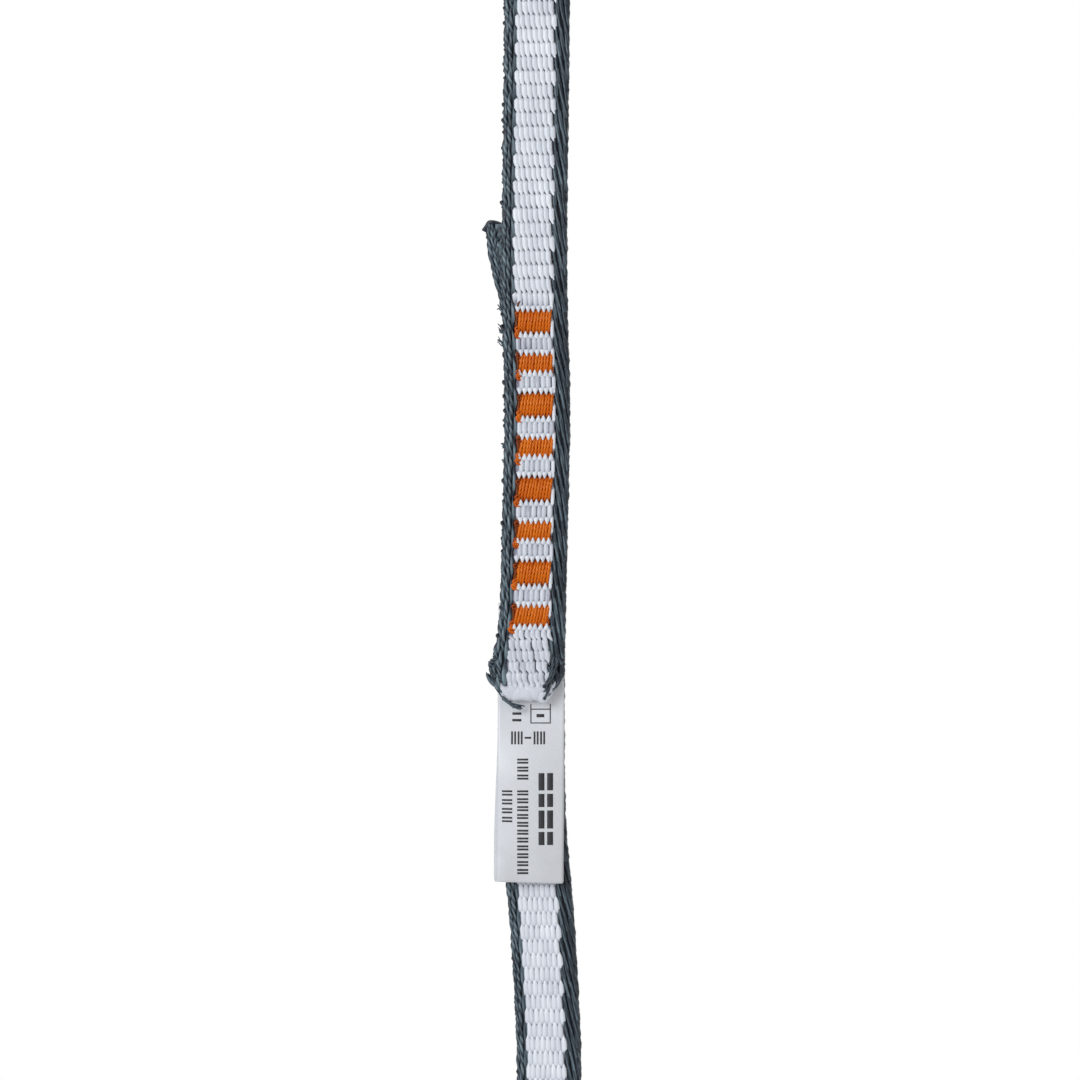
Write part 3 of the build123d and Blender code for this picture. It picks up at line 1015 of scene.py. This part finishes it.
def rear_tail_end():
    """The rear tail's fused end, with a dark bead curled over its left corner."""
    dark = Weave()
    t = np.linspace(0, 1, 25)
    bead = np.stack([
        BAND_END - 0.95 + 1.2 * np.abs(np.sin(3.05 * t)) ** 0.9,
        -2.35 - 1.95 * t,
        0.1 + 0.25 * np.sin(math.pi * t),
    ], -1)
    radius = 0.40 * (1 - 0.25 * t)
    dark.strand(bead, radius, sides=10, shade=0.02, lobes=2, depth=0.12, turns=1.5, groove_shade=0.2)
    for number in range(3):
        line = np.stack([
            REAR_CORDS_FROM + (BAND_END - 0.5 - REAR_CORDS_FROM) * t,
            CORE_LEFT + 0.42 - 0.36 * number + 0.06 * np.sin(9 * t + number),
            CREST - 0.02 + 0.06 * np.sin(11 * t) * (-1) ** number,
        ], -1)
        dark.strand(line, 0.235, shade=0.55 - 0.06 * number, turns=4.0, **TWO_PLY)
    low = np.stack([BAND_END - 0.5 + 0.25 * np.sin(4 * t), -2.0 - 2.0 * t, 0.25 - 0.55 * t], -1)
    radius = 0.34 * (1 - 0.2 * t)
    dark.strand(low, radius, sides=10, shade=0.10, lobes=2, depth=0.12, turns=2.0, groove_shade=0.3)
    lump(dark, BAND_END - 0.75, -3.55, 0.0, (0.55, 0.55, 0.75), 2.0, 0.03)
    lump(dark, BAND_END - 0.30, 2.9, 0.0, (0.95, 0.5, 0.95), 5.0, 0.03)
    dark.riding("rear_tail_fused_edge", SELVAGE, "rear_tail")

    pale = Weave()
    for number, (u, width) in enumerate(REAR_LUMPS):
        s = BAND_END - 0.24 + 0.07 * (number % 2)
        lump(pale, s, u, 0.0, (width, 0.5, 1.0), 6.0 + number, MELT_SHADE)
    pale.riding("rear_tail_melt", CORE, "rear_tail")


def frayed_edge():
    """Broken filaments that stand out of the splice's left edge."""
    weave = Weave()
    for number, (height, size) in enumerate(TUFTS):
        tuft(weave, height, CORE_LEFT - 1.25, 0.1, size, 10 + 3 * number, 6)
    weave.riding("frayed_edge", SELVAGE, "splice")


front_tail_end()
rear_tail_end()
frayed_edge()


# ---------------------------------------------------------------- the label
HINGE_Y, HINGE_Z = joint_at("label_lift")
LABEL_TOP = HINGE_Z - MIDDLE_Z
PLY_DEPTH = 0.13
LABEL_LEFT, LABEL_RIGHT = -4.75, 3.42
LABEL_MIDDLE = (LABEL_LEFT + LABEL_RIGHT) / 2
LABEL_BOTTOM = -50.3
LABEL_SLOPE = 0.035  # how much lower the fold lies on the right than on the left, per millimetre
BACK_SKEW = -0.32  # how far the back ply lies to the left at its lower end
FOLD_RADIUS = 0.27
STANDOFF = 1.85
LABEL_LAP = 2.4  # the flap's sheet starts this far above the hinge, behind the front tail
SEWN_DEPTH = 0.22


def hung(u, y, z):
    """A label point, with z from the splice's middle, to the part's x, y and z in metres."""
    return np.stack([u, y, z + MIDDLE_Z], -1) * MM


def label_front(u, z):
    """y of the front ply's middle surface. z is a height from the splice's middle."""
    lie = HINGE_Y - 0.5 * PLY_DEPTH - 0.005 - STANDOFF * smooth(LABEL_TOP, LABEL_TOP - 9.6, z)
    lie = lie - 0.12 * smooth(LABEL_TOP - 1, LABEL_TOP, z)
    hang = smooth(LABEL_TOP - 1.5, LABEL_TOP - 8, z)
    across = (u - LABEL_MIDDLE) / (LABEL_RIGHT - LABEL_MIDDLE)
    bulge = 0.55 * (1 - across ** 2) + 0.13 * np.sin(0.42 * z + 1.2 * across)
    corner = 0.42 * smooth(-43, -50, z) * smooth(-0.2, -1.0, across)
    crease = 0.10 * smooth(-1.2, 0.0, -np.abs(z + 47.9 + 0.5 * across))
    return lie - hang * (bulge + corner - crease)


def label_back(u, z):
    """y of the back ply's middle surface, which closes on the front ply at the top."""
    apart = smooth(LABEL_TOP - 1.5, LABEL_TOP - 10, z)
    return label_front(u, z) + PLY_DEPTH + (2 * FOLD_RADIUS - PLY_DEPTH) * apart


def label_across(z, back):
    """u across the label at a height. The back ply lies a little further left lower down."""
    skew = BACK_SKEW * smooth(-32, -46, z) * back
    left = LABEL_LEFT - 0.10 * smooth(-30, -50, z) + skew
    right = LABEL_RIGHT - 0.12 * smooth(-30, -50, z) + skew
    return left + (right - left) * np.linspace(0, 1, 25)


def label_sheet():
    """Rows of middle-surface points down the front ply, round the fold and up the back ply."""
    down = [(z, 0, label_front, 0) for z in np.linspace(LABEL_TOP + LABEL_LAP, LABEL_BOTTOM, 60)]
    fold = [(LABEL_BOTTOM, turn / math.pi, label_front, turn) for turn in np.linspace(0, math.pi, 9)[1:-1]]
    up = [(z, 1, label_back, 0) for z in np.linspace(LABEL_BOTTOM, LABEL_TOP + LABEL_LAP, 40)]
    rows = []
    for z, back, surface, turn in down + fold + up:
        u = label_across(z, back)
        y = surface(u, z) + FOLD_RADIUS * (1 - np.cos(turn))
        slope = LABEL_SLOPE * u * smooth(-40, -50, z)
        rows.append(np.stack([u, y, z - FOLD_RADIUS * np.sin(turn) - slope], -1))
    return np.stack(rows)


def thick_sheet(name, rows, thickness):
    """A closed sheet of label tape round rows of (u, y, z) points, z from the splice's middle."""
    normal = np.cross(np.gradient(rows, axis=0), np.gradient(rows, axis=1))
    normal /= np.linalg.norm(normal, axis=2)[..., None]
    front = rows + normal * thickness / 2
    back = rows - normal * thickness / 2
    weave = Weave(hung)
    weave.rings(np.concatenate([front, back[:, ::-1]], axis=1), np.full(len(rows), 0.5))
    return weave.piece(name, TAPE)


def curl_up(piece):
    """Bakes the label piece's transform; it stays where it was made."""
    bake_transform(piece)


def label_tape():
    """The hanging flap, and the sewn end that lies between the layers."""
    flap = thick_sheet("label_tape", label_sheet(), PLY_DEPTH)
    curl_up(flap)
    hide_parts("label_flap")
    low, high = (corner.z / MM - MIDDLE_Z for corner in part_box("label_sewn_end"))
    z = np.linspace(low + 0.2, high, 12)[::-1]
    u = np.linspace(LABEL_LEFT + 0.1, LABEL_RIGHT - 0.1, 9)
    rows = np.stack(np.broadcast_arrays(u, HINGE_Y, z[:, None]), -1)
    sewn = thick_sheet("label_tape_sewn_end", rows, SEWN_DEPTH)
    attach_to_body(sewn, "splice")
    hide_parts("label_sewn_end")


INK_LIFT = 0.004  # gap between tape and ink, and the ink's thickness
INK_DEPTH = 0.018
INK_STEP = 0.4
BOX_LEFT, BOX_RIGHT, BOX_TOP, BOX_BOTTOM = -0.75, 1.75, -28.9, -31.25
BOX_LINE = 0.13
LINES = [-35.45 - 0.96 * number for number in range(15) if number != 3]
SHORT_LINES = [-39.3 - 1.08 * number for number in range(4)]
# Bars of each shape: left edges, width, tops and height.
PRINT = (
    ((BOX_LEFT,), BOX_RIGHT - BOX_LEFT, (BOX_TOP - 0.55, BOX_BOTTOM + BOX_LINE), BOX_LINE),
    ((BOX_LEFT, BOX_RIGHT - BOX_LINE), BOX_LINE, (BOX_TOP,), BOX_TOP - BOX_BOTTOM),
    ((0.0,), 0.95, (-30.1,), 0.4),
    ((-2.95,), 1.1, (-29.1, -29.9, -30.7), 0.30),
    ((-3.1, -2.72, -2.3, -1.92, -0.35, 0.03, 0.45, 0.83), 0.22, (-32.2,), 1.55),
    ((-1.45,), 0.8, (-32.85,), 0.23),
    ((-2.35,), 1.35, [top - drop for top in LINES for drop in (0.0, 0.38)], 0.23),
    ((-4.2,), 1.25, [top - drop for top in SHORT_LINES for drop in (0.0, 0.42)], 0.22),
    ((0.25, 1.3), 0.72, (-37.2,), 2.1),
    ((0.25, 1.3), 0.72, (-39.72,), 1.6),
    ((0.25, 1.3), 0.72, (-41.74,), 2.2),
    ((0.25, 1.3), 0.72, (-44.36,), 1.6),
)


def ink_bar(weave, left, width, top, height):
    """A printed bar on the front ply."""
    columns = int(width / INK_STEP) + 2
    rows = int(height / INK_STEP) + 2
    u = np.linspace(left, left + width, columns)
    u, z = np.broadcast_arrays(u, np.linspace(top, top - height, rows)[:, None])
    y = label_front(u, z) - PLY_DEPTH / 2 - INK_LIFT
    front = np.stack([u, y - INK_DEPTH, z], -1)
    back = np.stack([u, y, z], -1)
    weave.rings(np.concatenate([front, back[:, ::-1]], axis=1), np.full(rows, 0.5))


def label_print():
    """Plain bars where a label carries print: a boxed mark, short lines, two columns and a heading."""
    weave = Weave(hung)
    for lefts, width, tops, height in PRINT:
        for top in tops:
            for left in lefts:
                ink_bar(weave, left, width, top, height)
    curl_up(weave.piece("label_print", INK))


def thread_tail():
    """A frayed cord end of the front tail that lies over the top of the label."""
    weave = Weave(hung)
    t = np.linspace(0, 1, 15)
    for number in range(6):
        a, b = row_noise(81, number), row_noise(82, number)
        u = -4.15 + (2.7 - 0.6 * a) * t + 0.25 * (b - 0.5) * t
        z = LABEL_TOP + 0.55 - (1.35 + 0.5 * a) * t - 0.3 * np.sin(3 * t + b)
        y = np.minimum(label_front(u, z) - 0.35, HINGE_Y - 1.15 - 0.75 * (1 - t)) - 0.048 * number * (1 - t)
        weave.strand(np.stack([u, y, z], -1), 0.13 * (1.2 - 0.8 * t), shade=0.2 + 0.35 * a)
    weave.riding("thread_tail", SELVAGE, "front_tail")


label_tape()
label_print()
thread_tail()


# ---------------------------------------------------------------- studio
SURROUND_LIGHT = 0.42  # the surround is full white to the camera, and this bright as a light
FLOOR_RADIUS = 330
FLOOR_DROP = 14
LAMPS = (  # place from the splice's middle, size, power and colour
    ("key", (-340, -400, 170), 300, 2.15, (0.93, 0.97, 1.0)),
    ("fill", (360, -330, 20), 300, 0.22, (1.0, 0.98, 0.95)),
    ("top", (30, 60, 330), 260, 0.7, (1.0, 1.0, 1.0)),
    ("back", (120, 460, 60), 300, 0.85, (1.0, 1.0, 1.0)),
)
LENS = 120
SENSOR = 36
PICTURE_WIDTHS = 16.5  # the picture is as high as this many strands are wide
CAMERA_SIDE = 0.43
CAMERA_DROP = 8.8


def surround():
    """A white surround, which lights less than it shows."""
    world = bpy.data.worlds.new("surround")
    bpy.context.scene.world = world
    sky = Nodes(world)
    seen = sky.node("LightPath", {}).outputs["Is Camera Ray"]
    strength = sky.node("MapRange", {"Value": seen, "To Min": SURROUND_LIGHT}).outputs["Result"]
    sky.feed(sky.tree.nodes["Background"], {"Color": (1, 1, 1, 1), "Strength": strength})


def pale_floor():
    """A round floor below the lower bight."""
    mesh = bpy.data.meshes.new("floor")
    ring = [
        (FLOOR_RADIUS * MM * math.cos(a), FLOOR_RADIUS * MM * math.sin(a), (BOTTOM_Z - FLOOR_DROP) * MM)
        for a in np.linspace(0, 2 * math.pi, 97)[:-1]
    ]
    mesh.from_pydata(ring, [], [list(range(len(ring)))])
    paint = Paint("floor_paint")
    paint.feed(paint.shader, {"Base Color": (0.86, 0.86, 0.87, 1), "Roughness": 0.8})
    mesh.materials.append(paint.material)
    added("floor", mesh)


def studio():
    """A pale floor, a white surround and soft lights, with a long lens on the splice."""
    bpy.context.scene.view_settings.view_transform = "Standard"
    surround()
    pale_floor()
    for name, place_mm, size, power, colour in LAMPS:
        data = bpy.data.lights.new(name, "AREA")
        data.size = size * MM
        data.energy = power
        data.color = colour
        lamp = added(name, data)
        lamp.location = (Vector(place_mm) + Vector((0, 0, MIDDLE_Z))) * MM
        aim = Vector((0, 0, MIDDLE_Z * MM)) - lamp.location
        lamp.rotation_euler = aim.to_track_quat("-Z", "Y").to_euler()

    data = bpy.data.cameras.new("camera")
    data.lens = LENS
    data.sensor_width = SENSOR
    data.clip_start = 0.01
    data.clip_end = 20
    camera = added("camera", data)
    distance = PICTURE_WIDTHS * 2 * WEB_HALF * LENS / SENSOR
    camera.location = (CAMERA_SIDE * MM, (FRONT_Y - HALF_T - distance) * MM, (MIDDLE_Z - CAMERA_DROP) * MM)
    camera.rotation_euler = (math.pi / 2, 0, 0)
    bpy.context.scene.camera = camera


studio()
